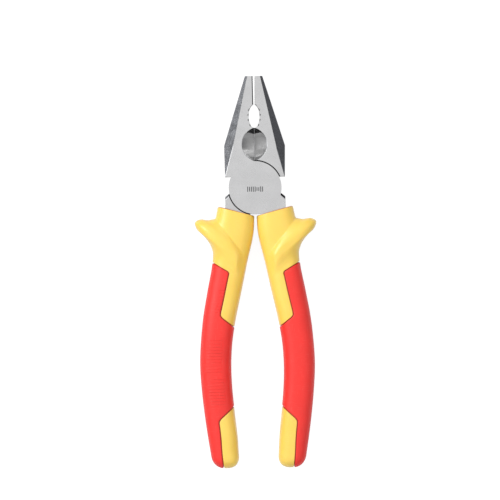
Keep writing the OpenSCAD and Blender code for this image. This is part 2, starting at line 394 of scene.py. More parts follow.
def rivet_material(steel):
    """Turned steel with fine rings round the pivot."""
    material, tree, shader = new_material("rivet_steel")
    place = add(tree, "ShaderNodeTexCoord")
    lay = add(tree, "ShaderNodeMapping", Vector=place.outputs["Object"], Scale=(1, 1, 0))
    rings = add(tree, "ShaderNodeTexWave", wave_type="RINGS", rings_direction="SPHERICAL",
                Vector=lay.outputs[0], Scale=380.0, Distortion=0.6, Detail=2.0)
    grain = placed(tree, grain_group(), Lay=(1, 1, 1), Fine_Scale=3000.0, Coarse_Scale=240.0)
    tone = remapped(tree, grain.outputs["Mottle"], 0.3, 0.7, 0.0, 1.0)
    base = blend_colours(tree, tone, [c * 0.86 for c in steel.face_colour], steel.face_colour)
    tree.links.new(base, shader.inputs["Base Color"])
    tree.links.new(remapped(tree, grain.outputs["Height"], 0.3, 0.7, 0.26, 0.40),
                   shader.inputs["Roughness"])
    height = maths(tree, "ADD", rings.outputs[1], grain.outputs["Height"])
    bump = add(tree, "ShaderNodeBump", Strength=0.25, Distance=0.00005, Height=height)
    tree.links.new(bump.outputs[0], shader.inputs["Normal"])
    shader.inputs["Metallic"].default_value = 1.0
    return material


def sleeve_material(handle):
    """Glossy hard plastic, with painted shade in the seam along the grip and round the collar's mouth.
    """
    material, tree, shader = new_material("sleeve_plastic")
    seam = add(tree, "ShaderNodeAttribute", attribute_name="seam").outputs["Fac"]
    grain = placed(tree, grain_group(), Lay=(1, 1, 1), Fine_Scale=1700.0, Coarse_Scale=70.0)
    scuffs = placed(tree, scuff_group(), Scale=300.0, Amount=0.4)
    tone = remapped(tree, grain.outputs["Mottle"], 0.3, 0.7, 0.0, 1.0)
    base = blend_colours(tree, tone, [c * k for c, k in zip(handle.sleeve_colour, (0.97, 0.95, 0.85))],
                         handle.sleeve_colour)
    scuffed = maths(tree, "MULTIPLY", scuffs.outputs[0], 0.25)
    base = blend_colours(tree, scuffed, base, (0.95, 0.78, 0.36))
    # painted shade: dark brown in the seam groove and round the collar's mouth
    base = blend_colours(tree, seam, base, (0.45, 0.07, 0.03))
    tree.links.new(base, shader.inputs["Base Color"])
    rough = remapped(tree, grain.outputs["Height"], 0.3, 0.7, 0.27, 0.36)
    tree.links.new(maths(tree, "ADD", rough, maths(tree, "MULTIPLY", scuffs.outputs[0], 0.2)),
                   shader.inputs["Roughness"])
    bump = add(tree, "ShaderNodeBump", Strength=0.12, Distance=0.00004, Height=grain.outputs["Height"])
    tree.links.new(bump.outputs[0], shader.inputs["Normal"])
    shader.inputs["IOR"].default_value = 1.5
    soften(shader, (0.0012, 0.0008, 0.0002))
    return material


def grip_material(handle):
    """Matt thermoplastic rubber with a fine moulded texture."""
    material, tree, shader = new_material("soft_grip")
    grain = placed(tree, grain_group(), Lay=(1, 1, 1), Fine_Scale=2200.0, Coarse_Scale=90.0)
    scuffs = placed(tree, scuff_group(), Scale=240.0, Amount=0.5)
    tone = remapped(tree, grain.outputs["Mottle"], 0.3, 0.7, 0.0, 1.0)
    base = blend_colours(tree, tone, [c * 0.93 for c in handle.grip_colour], handle.grip_colour)
    base = blend_colours(tree, maths(tree, "MULTIPLY", scuffs.outputs[0], 0.2), base, (0.93, 0.2, 0.17))
    tree.links.new(base, shader.inputs["Base Color"])
    tree.links.new(remapped(tree, grain.outputs["Height"], 0.3, 0.7, 0.44, 0.58),
                   shader.inputs["Roughness"])
    bump = add(tree, "ShaderNodeBump", Strength=0.25, Distance=0.00006, Height=grain.outputs["Height"])
    tree.links.new(bump.outputs[0], shader.inputs["Normal"])
    shader.inputs["IOR"].default_value = 1.48
    soften(shader, (0.0010, 0.0002, 0.0002))
    return material


# ---- forged halves ----

def in_cutter(x, y):
    """True in the scoop and on the bevels of the side cutter."""
    return math.hypot(x, y - CUTTER_Y) < CUTTER_REACH


def in_grip(x, y):
    """True in the pipe grip and between the toothed faces."""
    return abs(x) < GRIP_HALF_WIDTH and y > GRIP_START_Y


def in_lap_seam(x, y):
    """True in the narrow gap round the lap discs."""
    return LAP_INNER_R < math.hypot(x, y) < LAP_OUTER_R


def forged_mesh(node, steel):
    """The CAD forging with flats joined up and convex edges rounded, and each face's finish and painted
    shade.
    """
    bm = bmesh.new()
    bm.from_mesh(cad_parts[node].data)
    bmesh.ops.remove_doubles(bm, verts=bm.verts, dist=SAME_PLACE)
    bmesh.ops.dissolve_limit(bm, angle_limit=math.radians(DISSOLVE_DEGREES), verts=bm.verts,
                             edges=bm.edges)
    bm.normal_update()
    rim = bm.faces.layers.float.new("rim")
    sharp = []
    for edge in bm.edges:
        if len(edge.link_faces) != 2 or not edge.is_convex:
            continue
        if edge.calc_face_angle() < math.radians(BEVEL_DEGREES) or edge.calc_length() < SHORT_EDGE:
            continue
        fine = any(in_grip(v.co.x, v.co.y) for v in edge.verts)
        if not fine and not all(in_lap_seam(v.co.x, v.co.y) for v in edge.verts):
            sharp.append(edge)
    made = bmesh.ops.bevel(bm, geom=sharp, offset=steel.edge_rounding, offset_type="OFFSET",
                           segments=2, profile=0.5, affect="EDGES", clamp_overlap=False)
    for face in made["faces"]:
        face[rim] = 1.0
    bm.normal_update()
    finish = {"ground": [], "machined": [], "sooty": [], "planar": []}
    for face in bm.faces:
        x, y, z = face.calc_center_median()
        flat = abs(face.normal.z) > 0.985
        bevelled = face[rim] > 0.5
        cut = not flat and not bevelled and (in_cutter(x, y) or in_grip(x, y))
        in_the_open = OPEN_SIDE_Y[0] < y < OPEN_SIDE_Y[1]
        lap_face = flat and abs(z - HALF_HEAD) < MM
        # painted shade: the hidden lap faces and the walls of the lap seam and pipe grip are painted
        # dark
        if lap_face or in_lap_seam(x, y) and not flat and not in_the_open:
            shade_amount = 1.0
        else:
            shade_amount = 0.93 if in_grip(x, y) and not flat else 0.0
        planar = flat or not (bevelled or cut) and face.calc_area() > BIG_FACE
        finish["ground"].append(float(flat))
        finish["machined"].append(float(cut))
        finish["sooty"].append(shade_amount)
        finish["planar"].append(float(planar))
    mesh = mesh_of(bm, node, FORGED_SMOOTH_DEGREES)
    for name, values in finish.items():
        set_face_values(mesh, name, values)
    return mesh


def stamp_tree():
    """Geometry nodes: a row of upright strokes of uneven height, as punched by a stamp."""
    tree, entry, out = group_tree(
        "Stamp Strokes", "GeometryNodeTree",
        [("Count", "NodeSocketInt", 9), ("Spacing", "NodeSocketFloat", 0.001),
         ("Height", "NodeSocketFloat", 0.0028), ("Width", "NodeSocketFloat", 0.0004),
         ("Depth", "NodeSocketFloat", 0.0006), ("Centre", "NodeSocketVector", (0, 0, 0)),
         ("Seed", "NodeSocketInt", 3), ("Material", "NodeSocketMaterial", None)],
        [("Geometry", "NodeSocketGeometry")])
    span = maths(tree, "MULTIPLY", entry.outputs["Spacing"],
                 maths(tree, "SUBTRACT", entry.outputs["Count"], 1.0))
    first = add(tree, "ShaderNodeCombineXYZ", X=maths(tree, "MULTIPLY", span, -0.5))
    start = add(tree, "ShaderNodeVectorMath", operation="ADD", in0=entry.outputs["Centre"],
                in1=first.outputs[0])
    step = add(tree, "ShaderNodeCombineXYZ", X=entry.outputs["Spacing"])
    row = add(tree, "GeometryNodeMeshLine", Count=entry.outputs["Count"],
              Start_Location=start.outputs[0], Offset=step.outputs[0])
    size = add(tree, "ShaderNodeCombineXYZ", X=entry.outputs["Width"], Y=entry.outputs["Height"],
               Z=entry.outputs["Depth"])
    stroke = add(tree, "GeometryNodeMeshCube", Size=size.outputs[0])
    uneven = add(tree, "FunctionNodeRandomValue", data_type="FLOAT")
    uneven.inputs[2].default_value, uneven.inputs[3].default_value = 0.55, 1.0
    tree.links.new(entry.outputs["Seed"], uneven.inputs["Seed"])
    stretch = add(tree, "ShaderNodeCombineXYZ", X=1.0, Y=uneven.outputs[1], Z=1.0)
    strokes = add(tree, "GeometryNodeInstanceOnPoints", Points=row.outputs[0],
                  Instance=stroke.outputs[0], Scale=stretch.outputs[0])
    real = add(tree, "GeometryNodeRealizeInstances", Geometry=strokes.outputs[0])
    paint = add(tree, "GeometryNodeSetMaterial", Geometry=real.outputs[0],
                Material=entry.outputs["Material"])
    tree.links.new(paint.outputs[0], out.inputs[0])
    return tree


def grown(tree, name, material, **values):
    """The plain mesh that a geometry nodes tree makes from those values."""
    host = bpy.data.objects.new(name, bpy.data.meshes.new(name))
    bpy.context.scene.collection.objects.link(host)
    modifier = host.modifiers.new(name, "NODES")
    modifier.node_group = tree
    values["Material"] = material
    for item in tree.interface.items_tree:
        if item.in_out == "INPUT" and item.name in values:
            modifier[item.identifier] = values[item.name]
    mesh = evaluated_mesh(host, name)
    host.modifiers.remove(modifier)
    bpy.data.objects.remove(host)
    return mesh


def stamped(mesh, cutter_mesh):
    """The mesh with the stamp's strokes sunk into it."""
    blank = bpy.data.objects.new("stamp_blank", mesh)
    cutter = bpy.data.objects.new("stamp_cutter", cutter_mesh)
    for piece in (blank, cutter):
        bpy.context.scene.collection.objects.link(piece)
    sink = blank.modifiers.new("stamp", "BOOLEAN")
    sink.operation, sink.solver, sink.object = "DIFFERENCE", "EXACT", cutter
    made = evaluated_mesh(blank, mesh.name)
    for piece in (blank, cutter):
        bpy.data.objects.remove(piece)
    return made


class PLIERS_OT_forged_halves(bpy.types.Operator):
    """Make the two forged halves with rounded edges, ground faces and the stamp"""
    bl_idname = "pliers.forged_halves"
    bl_label = "Forged Halves"

    def execute(self, context):
        steel = context.scene.pliers_steel
        material = steel_material(steel)
        for node, body in (("front_jaw_half", "front_half"), ("rear_jaw_half", "rear_half")):
            mesh = forged_mesh(node, steel)
            if node == "front_jaw_half":
                strokes = grown(
                    stamp_tree(), "stamp_strokes", material, Count=steel.mark_count,
                    Spacing=steel.mark_spacing, Height=steel.mark_height,
                    Centre=(0.0, STAMP_Y, 2 * HALF_HEAD))
                # the stamp's sunk strokes are painted dark as shade
                set_face_values(strokes, "sooty", [0.8] * len(strokes.polygons))
                mesh = stamped(mesh, strokes)
            crease_flats(mesh, FORGED_SMOOTH_DEGREES)
            finished_piece(node + "_forging", mesh, body, "forged_steel", material, node)
        return {"FINISHED"}


class PLIERS_OT_rivet(bpy.types.Operator):
    """Make the countersunk rivet with its turned head"""
    bl_idname = "pliers.rivet"
    bl_label = "Rivet"

    def execute(self, context):
        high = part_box("pivot_rivet")[1]
        head_r, top, edge = high.x, high.z, 0.25 * MM
        shank_r, head_h = RIVET_SHANK_R, 2.0 * MM
        # radius and height of each turned corner, from the blind end to the middle of the head
        profile = [(0.0, top), (shank_r - edge, top), (shank_r, top - edge), (shank_r, head_h),
                   (head_r - 0.06 * MM, 0.06 * MM), (head_r - 0.3 * MM, 0.0), (4.4 * MM, 0.0),
                   (4.25 * MM, 0.12 * MM), (4.0 * MM, 0.12 * MM), (3.85 * MM, 0.0), (1.5 * MM, 0.0),
                   (1.1 * MM, 0.18 * MM), (0.0, 0.3 * MM)]
        bm = bmesh.new()
        rings = []
        for r, z in profile:
            if r == 0:
                rings.append([bm.verts.new((0, 0, z))] * RIVET_TURNS)
            else:
                turns = [2 * math.pi * i / RIVET_TURNS for i in range(RIVET_TURNS)]
                rings.append([bm.verts.new((r * math.cos(a), r * math.sin(a), z)) for a in turns])
        for upper, lower in zip(rings, rings[1:]):
            for i in range(RIVET_TURNS):
                j = (i + 1) % RIVET_TURNS
                bm.faces.new(list(dict.fromkeys((upper[i], lower[i], lower[j], upper[j]))))
        bmesh.ops.recalc_face_normals(bm, faces=bm.faces)
        finished_piece("pivot_rivet_turned", mesh_of(bm, "pivot_rivet_turned", 30), "front_half",
                       "rivet_steel", rivet_material(context.scene.pliers_steel), "pivot_rivet")
        return {"FINISHED"}


# ---- moulded handles ----

# Stations down the right handle in mm: y, inner edge x, outer edge x, half depth
STATIONS = np.array([
    (-8, 0.4, 19.0, 8.6), (-23, 1.0, 21.8, 8.8), (-38, 4.4, 22.4, 8.8), (-53, 7.6, 25.2, 9.1),
    (-66, 10.5, 27.5, 9.4), (-78, 12.6, 28.8, 9.6), (-90, 13.4, 29.4, 9.6), (-102, 13.1, 28.8, 9.4),
    (-115, 11.9, 27.5, 9.0), (-127, 10.6, 25.9, 8.4), (-136, 10.1, 24.5, 7.8)])
END_Y, END_LEN, END_LEAN = -136.0, 7.4, 0.8      # where the rounded end starts, and its shape
SECTION_N = 2.8                                  # exponent of the rounded section
AROUND = 112                                     # points round the section
BARE_WIDTH, TAIL_WIDTH = 8.4, 8.6                # sleeve left bare beside and below the grip
SHELL_THICKNESS = 1.2                            # of the soft grip
SPLIT_TOLERANCE = 0.004                          # a point this near a line is moved onto it

# Rings of the collar and guard in mm: outer edge y, inner edge y, wing reach, wing lift, ridge, inset
GUARD_RINGS = np.array([
    (-9.9, -14.8, 0, 0, 0, 0), (-12.5, -20.0, 0, 0, 0, 0), (-14.3, -28.0, 0, 0, 0, 0),
    (-15.4, -36.3, 0.2, 0, 0, 0), (-16.2, -37.6, 3.0, 0.1, 0.5, 0), (-18.0, -38.8, 7.4, 2.3, 1.3, 0),
    (-20.8, -40.6, 9.7, 3.2, 1.8, 0), (-23.7, -42.6, 8.4, 2.9, 1.7, 0), (-26.9, -44.6, 4.3, 2.1, 1.1, 0),
    (-29.8, -46.4, 1.3, 0.8, 0.4, 0), (-33.5, -48.2, 0, 0, 0, 0), (-38.5, -50.2, 0, 0, 0, 0),
    (-44.0, -52.6, 0, 0, 0, 0), (-49.5, -55.2, 0, 0, 0, 0), (-56.0, -56.0, 0, 0, 0, 0)], float)
RIM_RING = np.array((-9.4, -14.1, 0, 0, 0, 0.9))
MOUTH_RING = np.array((-9.9, -14.6, 0, 0, 0, 1.5))
RIM_STEPS = 5                                    # rings round the rim, from the mouth outwards
# painted shade on the collar's mouth and rim, where it meets the steel
RIM_SHADE_PAINT = (0.15, 0.8, 0.9, 0.9, 0.6, 0.2)      # how dark the mouth and the rim's rings are

# Rows of ribs: first rib's x and y in mm on the left handle, lean of the row, count, share of length
RIB_ROWS = ((-21.7, -77.5, -0.08, 11, 1.0), (-21.6, -97.3, 0.14, 9, 1.0),
            (-17.9, -52.0, -0.30, 8, 0.32))
RAY_START = 30 * MM                              # how far behind the face the ribs are thrown from


def along(y, column):
    """That column of the stations at y, on a smooth curve through them."""
    table, last = STATIONS, len(STATIONS) - 1
    y = np.asarray(y, float)
    i = np.clip(np.searchsorted(-table[:, 0], -y, side="right") - 1, 0, last - 1)
    above = np.maximum(np.arange(last + 1) - 1, 0)
    below = np.minimum(np.arange(last + 1) + 1, last)
    slopes = (table[below, column] - table[above, column]) / (table[below, 0] - table[above, 0])
    h = table[i + 1, 0] - table[i, 0]
    t = (y - table[i, 0]) / h
    return ((2 * t**3 - 3 * t**2 + 1) * table[i, column] + (t**3 - 2 * t**2 + t) * h * slopes[i]
            + (3 * t**2 - 2 * t**3) * table[i + 1, column] + (t**3 - t**2) * h * slopes[i + 1])


def mid_x(y):
    """The middle of the handle at y."""
    return (along(y, 1) + along(y, 2)) / 2


def ease_between(rows, per_step):
    """Rows filled in between with curves that never pass a row's own highest or lowest value."""
    steps = np.diff(rows, axis=0)
    before, after = steps[:-1], steps[1:]
    with np.errstate(divide="ignore", invalid="ignore"):
        inner = np.where(before * after > 0, 2 * before * after / (before + after), 0.0)
    slopes = np.vstack([steps[:1], inner, steps[-1:]])
    made = []
    for k in range(len(rows) - 1):
        for t in np.arange(per_step) / per_step:
            made.append((2 * t**3 - 3 * t**2 + 1) * rows[k] + (t**3 - 2 * t**2 + t) * slopes[k]
                        + (3 * t**2 - 2 * t**3) * rows[k + 1] + (t**3 - t**2) * slopes[k + 1])
    return np.array(made)


def signed_power(value, power):
    """The value's size to that power, with its sign kept."""
    return np.sign(value) * np.abs(value) ** power


def smooth_step(low, high, value):
    """0 up to low and 1 from high, with an even curve between."""
    t = np.clip((value - low) / (high - low), 0, 1)
    return t * t * (3 - 2 * t)


def ring_angles(count):
    """Angles whose points lie evenly round the handle's section."""
    fine = np.linspace(0, math.pi / 2, 4001)
    x, z = np.cos(fine) ** (2 / SECTION_N), np.sin(fine) ** (2 / SECTION_N)
    run = np.concatenate([[0], np.cumsum(np.hypot(np.diff(x), np.diff(z)))])
    quarter = np.interp(np.linspace(0, run[-1], count // 4 + 1), run, fine)[:-1]
    mirrored = math.pi - np.concatenate([[math.pi / 2], quarter[:0:-1]])
    half = np.concatenate([quarter, mirrored])
    return np.concatenate([half, half + math.pi])


def handle_ring(row, q):
    """Points round the handle at one row of the collar and guard, at the angles q."""
    yo, yi, reach, lift, ridge, inset = row
    xo, xi = along(yo, 2) - inset, along(yi, 1) + inset
    depth = along((yo + yi) / 2, 3) - inset
    sx, sz = signed_power(np.cos(q), 2 / SECTION_N), signed_power(np.sin(q), 2 / SECTION_N)
    side = np.maximum(0, np.cos(q)) ** 0.8
    crest = smooth_step(-0.8, -0.45, sx)
    return np.stack([(xo + xi) / 2 + (xo - xi) / 2 * sx + reach * side,
                     (yo + yi) / 2 + (yo - yi) / 2 * sx + lift * side,
                     (depth + ridge * crest) * sz], axis=1)


def end_ring(angle, q):
    """Points round the handle's end, which closes as the angle goes to a right angle."""
    small, down = math.cos(angle) ** 0.83, math.sin(angle) ** 0.83
    half = (along(END_Y, 2) - mid_x(END_Y)) * small
    sx, sz = signed_power(np.cos(q), 2 / SECTION_N), signed_power(np.sin(q), 2 / SECTION_N)
    return np.stack([mid_x(END_Y) - END_LEAN * down + half * sx,
                     np.full(len(q), END_Y - END_LEN * down), along(END_Y, 3) * small * sz], axis=1)


def handle_rings(count):
    """Rings of points down the right handle, in mm about mid-thickness, and the tip at its end."""
    q = ring_angles(count)
    rows = [MOUTH_RING]
    for t in np.linspace(0, 90, RIM_STEPS + 1)[:-1]:
        turn = math.radians(t)
        row = RIM_RING + (GUARD_RINGS[0] - RIM_RING) * (1 - math.cos(turn))
        row[5] = RIM_RING[5] * (1 - math.sin(turn))
        rows.append(row)
    rows.extend(ease_between(GUARD_RINGS, 6))
    rings = [handle_ring(row, q) for row in rows]
    rings += [handle_ring((y, y, 0, 0, 0, 0), q) for y in np.arange(-56, END_Y - 0.5, -1.0)]
    rings += [end_ring(math.radians(a), q) for a in range(4, 89, 4)]
    return rings, (mid_x(END_Y) - END_LEAN, END_Y - END_LEN, 0.0)


def grip_outline():
    """Corners of the area that the soft grip covers on the right handle, in mm."""
    bare = [(along(y, 1) + BARE_WIDTH, y) for y in np.arange(-45, -63.5, -2.0)]
    tail = [(along(y, 1) + TAIL_WIDTH, y) for y in np.arange(-121, -135.5, -2.0)]
    return np.array([(40, -32), (22.9, -37.8), (14.6, -42.6), (13.9, -43.6), *bare, (18.6, -65),
                     (17.6, -66.4), (-4, -82.85), (-4, -98), (0, -101), (18.9, -117.6), (20, -119.2),
                     *tail, (17.4, -150), (40, -150)], float)


def inside_distance(points, outline):
    """How far each point is inside the outline, negative outside it, seen square to the faces."""
    p = points[:, None, :2]
    a, b = outline[None], np.roll(outline, -1, axis=0)[None]
    along_edge = np.clip(((p - a) * (b - a)).sum(2) / ((b - a) ** 2).sum(2), 0, 1)
    gap = np.linalg.norm(p - a - along_edge[..., None] * (b - a), axis=2).min(1)
    straddles = (a[..., 1] > p[..., 1]) != (b[..., 1] > p[..., 1])
    with np.errstate(divide="ignore", invalid="ignore"):
        cross = a[..., 0] + (p[..., 1] - a[..., 1]) * (b[..., 0] - a[..., 0]) / (b[..., 1] - a[..., 1])
    inside = (straddles & (p[..., 0] < cross)).sum(1) % 2 == 1
    return np.where(inside, gap, -gap)


def handle_shell(levels):
    """The right handle's skin in mm, cut along lines at those distances inside the grip's outline."""
    rings, tip = handle_rings(AROUND)
    bm = bmesh.new()
    depth = bm.verts.layers.float.new("depth")
    grid = [[bm.verts.new(p) for p in ring] for ring in rings]
    for upper, lower in zip(grid, grid[1:]):
        for i in range(AROUND):
            j = (i + 1) % AROUND
            bm.faces.new((upper[i], upper[j], lower[j], lower[i]))
    bm.faces.new(grid[0][::-1])
    pole = bm.verts.new(tip)
    for i in range(AROUND):
        bm.faces.new((grid[-1][i], grid[-1][(i + 1) % AROUND], pole))
    bm.normal_update()
    points = np.array([v.co for v in bm.verts])
    for vert, value in zip(bm.verts, inside_distance(points, grip_outline())):
        vert[depth] = value
    for level in levels:
        fresh = set()
        for edge in list(bm.edges):
            a, b = edge.verts
            da, db = a[depth] - level, b[depth] - level
            if da * db < 0 and min(abs(da), abs(db)) > SPLIT_TOLERANCE:
                _, vert = bmesh.utils.edge_split(edge, a, da / (da - db))
                vert[depth] = level
                fresh.add(vert)
            else:
                for vert, gap in ((a, da), (b, db)):
                    if abs(gap) <= SPLIT_TOLERANCE:
                        vert[depth] = level
                        fresh.add(vert)
        for face in list({f for v in fresh for f in v.link_faces}):
            ends = [v for v in face.verts if v in fresh]
            if len(ends) == 2 and not any(e.other_vert(ends[0]) is ends[1] for e in ends[0].link_edges):
                bmesh.utils.face_split(face, ends[0], ends[1])
    bm.normal_update()
    return bm, depth


def seated(bm, side):
    """Moves a right handle in mm to its seat in metres, turned half round for the left side."""
    for vert in bm.verts:
        x, y, z = vert.co * MM
        vert.co = (side * x, y, side * z + HALF_HEAD)


def profiled(depths, knots):
    """The inset for each distance inside the grip's outline."""
    where, inset = zip(*knots)
    return np.interp(depths, where, inset)


def sleeve_mesh(side, handle):
    """A sleeve, sunk under the soft grip, with painted shade in the seam along it and round its mouth.
    """
    gap = handle.seam_width / MM / 2
    knots = [(-gap - 0.55, 0.10), (-gap - 0.22, 0.13), (-gap - 0.06, 0.24), (-gap, 0.42),
             (-gap + 0.05, 0.85), (gap + 0.25, 0.85), (gap + 0.6, 1.25)]
    bm, depth = handle_shell([k[0] for k in knots])
    seam = bm.verts.layers.float.new("seam")
    depths = np.array([v[depth] for v in bm.verts])
    insets = profiled(depths, knots)
    for i, (vert, inset, value) in enumerate(zip(bm.verts, insets, depths)):
        ring = i // AROUND
        # painted shade in the seam and on the rings of the collar's rim
        rim_shade = RIM_SHADE_PAINT[ring] if ring < len(RIM_SHADE_PAINT) else 0.0
        vert[seam] = max(rim_shade, float(smooth_step(-gap - 0.12, -gap + 0.02, value)))
        vert.co = vert.co - vert.normal * inset
    seated(bm, side)
    return bm


def grip_mesh(side, handle):
    """A soft grip, as a closed shell with rounded edges."""
    gap = handle.seam_width / MM / 2
    knots = [(gap, 0.42), (gap + 0.06, 0.22), (gap + 0.22, 0.07), (gap + 0.55, 0.0)]
    bm, depth = handle_shell([k[0] for k in knots])
    stray = [f for f in bm.faces if min(v[depth] for v in f.verts) < gap - 0.001]
    bmesh.ops.delete(bm, geom=stray, context="FACES")
    outer = list(bm.verts)
    insets = profiled(np.array([v[depth] for v in outer]), knots)
    rim = [e for e in bm.edges if e.is_boundary]
    faces = list(bm.faces)
    under = {v: bm.verts.new(v.co - v.normal * SHELL_THICKNESS) for v in outer}
    for face in faces:
        bm.faces.new([under[v] for v in reversed(face.verts)])
    for edge in rim:
        loop = edge.link_loops[0]
        a, b = loop.vert, loop.link_loop_next.vert
        bm.faces.new((b, a, under[a], under[b]))
    for vert, inset in zip(outer, insets):
        vert.co = vert.co - vert.normal * inset
    seated(bm, side)
    return bm


# Name, body and side of each handle
HANDLES = (("right", "front_half", 1), ("left", "rear_half", -1))
MOULDED_SMOOTH_DEGREES = 55


class PLIERS_OT_sleeves(bpy.types.Operator):
    """Make the hard sleeves with their collars, hand guards and the seam along the grip"""
    bl_idname = "pliers.sleeves"
    bl_label = "Sleeves"

    def execute(self, context):
        handle = context.scene.pliers_handle
        material = sleeve_material(handle)
        for name, body, side in HANDLES:
            mesh = mesh_of(sleeve_mesh(side, handle), name + "_sleeve_shell", MOULDED_SMOOTH_DEGREES)
            finished_piece(name + "_sleeve_shell", mesh, body, "sleeve_plastic", material,
                           name + "_sleeve")
        return {"FINISHED"}


class PLIERS_OT_grips(bpy.types.Operator):
    """Make the soft grips moulded over the sleeves"""
    bl_idname = "pliers.grips"
    bl_label = "Grips"

    def execute(self, context):
        handle = context.scene.pliers_handle
        material = grip_material(handle)
        for name, body, side in HANDLES:
            mesh = mesh_of(grip_mesh(side, handle), name + "_grip_shell", MOULDED_SMOOTH_DEGREES)
            finished_piece(name + "_grip_shell", mesh, body, "soft_grip", material,
                           name + "_soft_grip")
        return {"FINISHED"}


def rib_tree():
    """Geometry nodes: raised ribs in a row, laid on a surface along its depth."""
    tree, entry, out = group_tree(
        "Grip Ribs", "GeometryNodeTree",
        [("Surface", "NodeSocketObject", None), ("Count", "NodeSocketInt", 9),
         ("Start", "NodeSocketVector", (0, 0, 0)), ("Step", "NodeSocketVector", (0, -0.0016, 0)),
         ("Length", "NodeSocketFloat", 0.008), ("Radius", "NodeSocketFloat", 0.00034),
         ("Sink", "NodeSocketFloat", 0.00013), ("Towards", "NodeSocketVector", (0, 0, -1)),
         ("Material", "NodeSocketMaterial", None)],
        [("Geometry", "NodeSocketGeometry")])
    row = add(tree, "GeometryNodeMeshLine", Count=entry.outputs["Count"],
              Start_Location=entry.outputs["Start"], Offset=entry.outputs["Step"])
    half = add(tree, "ShaderNodeCombineXYZ", X=maths(tree, "MULTIPLY", entry.outputs["Length"], 0.5))
    other = add(tree, "ShaderNodeCombineXYZ", X=maths(tree, "MULTIPLY", entry.outputs["Length"], -0.5))
    line = add(tree, "GeometryNodeCurvePrimitiveLine", Start=other.outputs[0], End=half.outputs[0])
    fine = add(tree, "GeometryNodeResampleCurve", Curve=line.outputs[0])
    fine.inputs["Count"].default_value = 14
    lines = add(tree, "GeometryNodeInstanceOnPoints", Points=row.outputs[0], Instance=fine.outputs[0])
    real = add(tree, "GeometryNodeRealizeInstances", Geometry=lines.outputs[0])
    surface = add(tree, "GeometryNodeObjectInfo", Object=entry.outputs["Surface"])
    hit = add(tree, "GeometryNodeRaycast", Target_Geometry=surface.outputs["Geometry"],
              Ray_Direction=entry.outputs["Towards"])
    hit.inputs["Ray Length"].default_value = 0.05
    sunk = add(tree, "ShaderNodeVectorMath", operation="SCALE", in0=entry.outputs["Towards"])
    tree.links.new(entry.outputs["Sink"], sunk.inputs["Scale"])
    laid = add(tree, "ShaderNodeVectorMath", operation="ADD", in0=hit.outputs["Hit Position"],
               in1=sunk.outputs[0])
    placed_lines = add(tree, "GeometryNodeSetPosition", Geometry=real.outputs[0],
                       Position=laid.outputs[0])
    section = add(tree, "GeometryNodeCurvePrimitiveCircle", Resolution=8,
                  Radius=entry.outputs["Radius"])
    tubes = add(tree, "GeometryNodeCurveToMesh", Curve=placed_lines.outputs[0],
                Profile_Curve=section.outputs[0])
    tubes.inputs["Fill Caps"].default_value = True
    joined = add(tree, "GeometryNodeRealizeInstances", Geometry=tubes.outputs[0])
    paint = add(tree, "GeometryNodeSetMaterial", Geometry=joined.outputs[0],
                Material=entry.outputs["Material"])
    tree.links.new(paint.outputs[0], out.inputs[0])
    return tree


def joined_mesh(meshes, name):
    """The meshes as one, with their faces turned outwards."""
    bm = bmesh.new()
    for mesh in meshes:
        bm.from_mesh(mesh)
    bmesh.ops.recalc_face_normals(bm, faces=bm.faces)
    return mesh_of(bm, name, 40)


class PLIERS_OT_grip_ribs(bpy.types.Operator):
    """Lay two rows of raised ribs and a row of short ticks on one face of each grip"""
    bl_idname = "pliers.grip_ribs"
    bl_label = "Grip Ribs"

    def execute(self, context):
        handle = context.scene.pliers_handle
        material = bpy.data.materials["soft_grip"]
        tree = rib_tree()
        for name, body, side in HANDLES:
            surface = bpy.data.objects[name + "_grip_shell"]
            made = [grown(tree, "ribs", material, Surface=surface, Count=count,
                          Length=share * handle.rib_length,
                          Start=(side * -x * MM, y * MM, HALF_HEAD - side * RAY_START),
                          Step=(side * -lean * MM, -handle.rib_spacing, 0.0),
                          Towards=(0.0, 0.0, float(side)))
                    for x, y, lean, count, share in RIB_ROWS]
            finished_piece(name + "_grip_ribs", joined_mesh(made, name + "_grip_ribs"), body,
                           "soft_grip", material)
        return {"FINISHED"}


# ---- studio ----

FLOOR_REACH = 6.0
FLOOR_SHADE, FLOOR_GLOW = 0.20, 0.93
# Reflector cards, seen in gloss only: name, the corners of the lower edge, top and level of light
CARDS = (("left", (-0.7, -0.95), (-0.7, 0.85), 0.5, 0.18),
         ("right", (0.7, -0.95), (0.7, 0.85), 1.1, 0.24),
         ("far", (-0.7, 0.85), (0.7, 0.85), 0.5, 0.20),
         ("near", (-0.7, -0.95), (0.7, -0.95), 0.5, 0.25))
KEY_PLACE, KEY_TARGET, KEY_SIZE = Vector((-0.80, 0.50, 0.85)), Vector((0, -0.04, 0)), 0.8
VIEW_X, VIEW_Y, VIEW_TURN_DEGREES = -3.05 * MM, -31.8 * MM, -0.8
SENSOR_WIDTH = 36.0


def cleared(data):
    """The node tree of a new material or world, emptied."""
    data.use_nodes = True
    data.node_tree.nodes.clear()
    return data.node_tree


def seen_directly(tree):
    """1 for rays from the camera, off gloss or through glass, which see the plain background."""
    path = add(tree, "ShaderNodeLightPath")
    return maths(tree, "MAXIMUM", path.outputs["Is Camera Ray"],
                 maths(tree, "MAXIMUM", path.outputs["Is Glossy Ray"],
                       path.outputs["Is Transmission Ray"]))


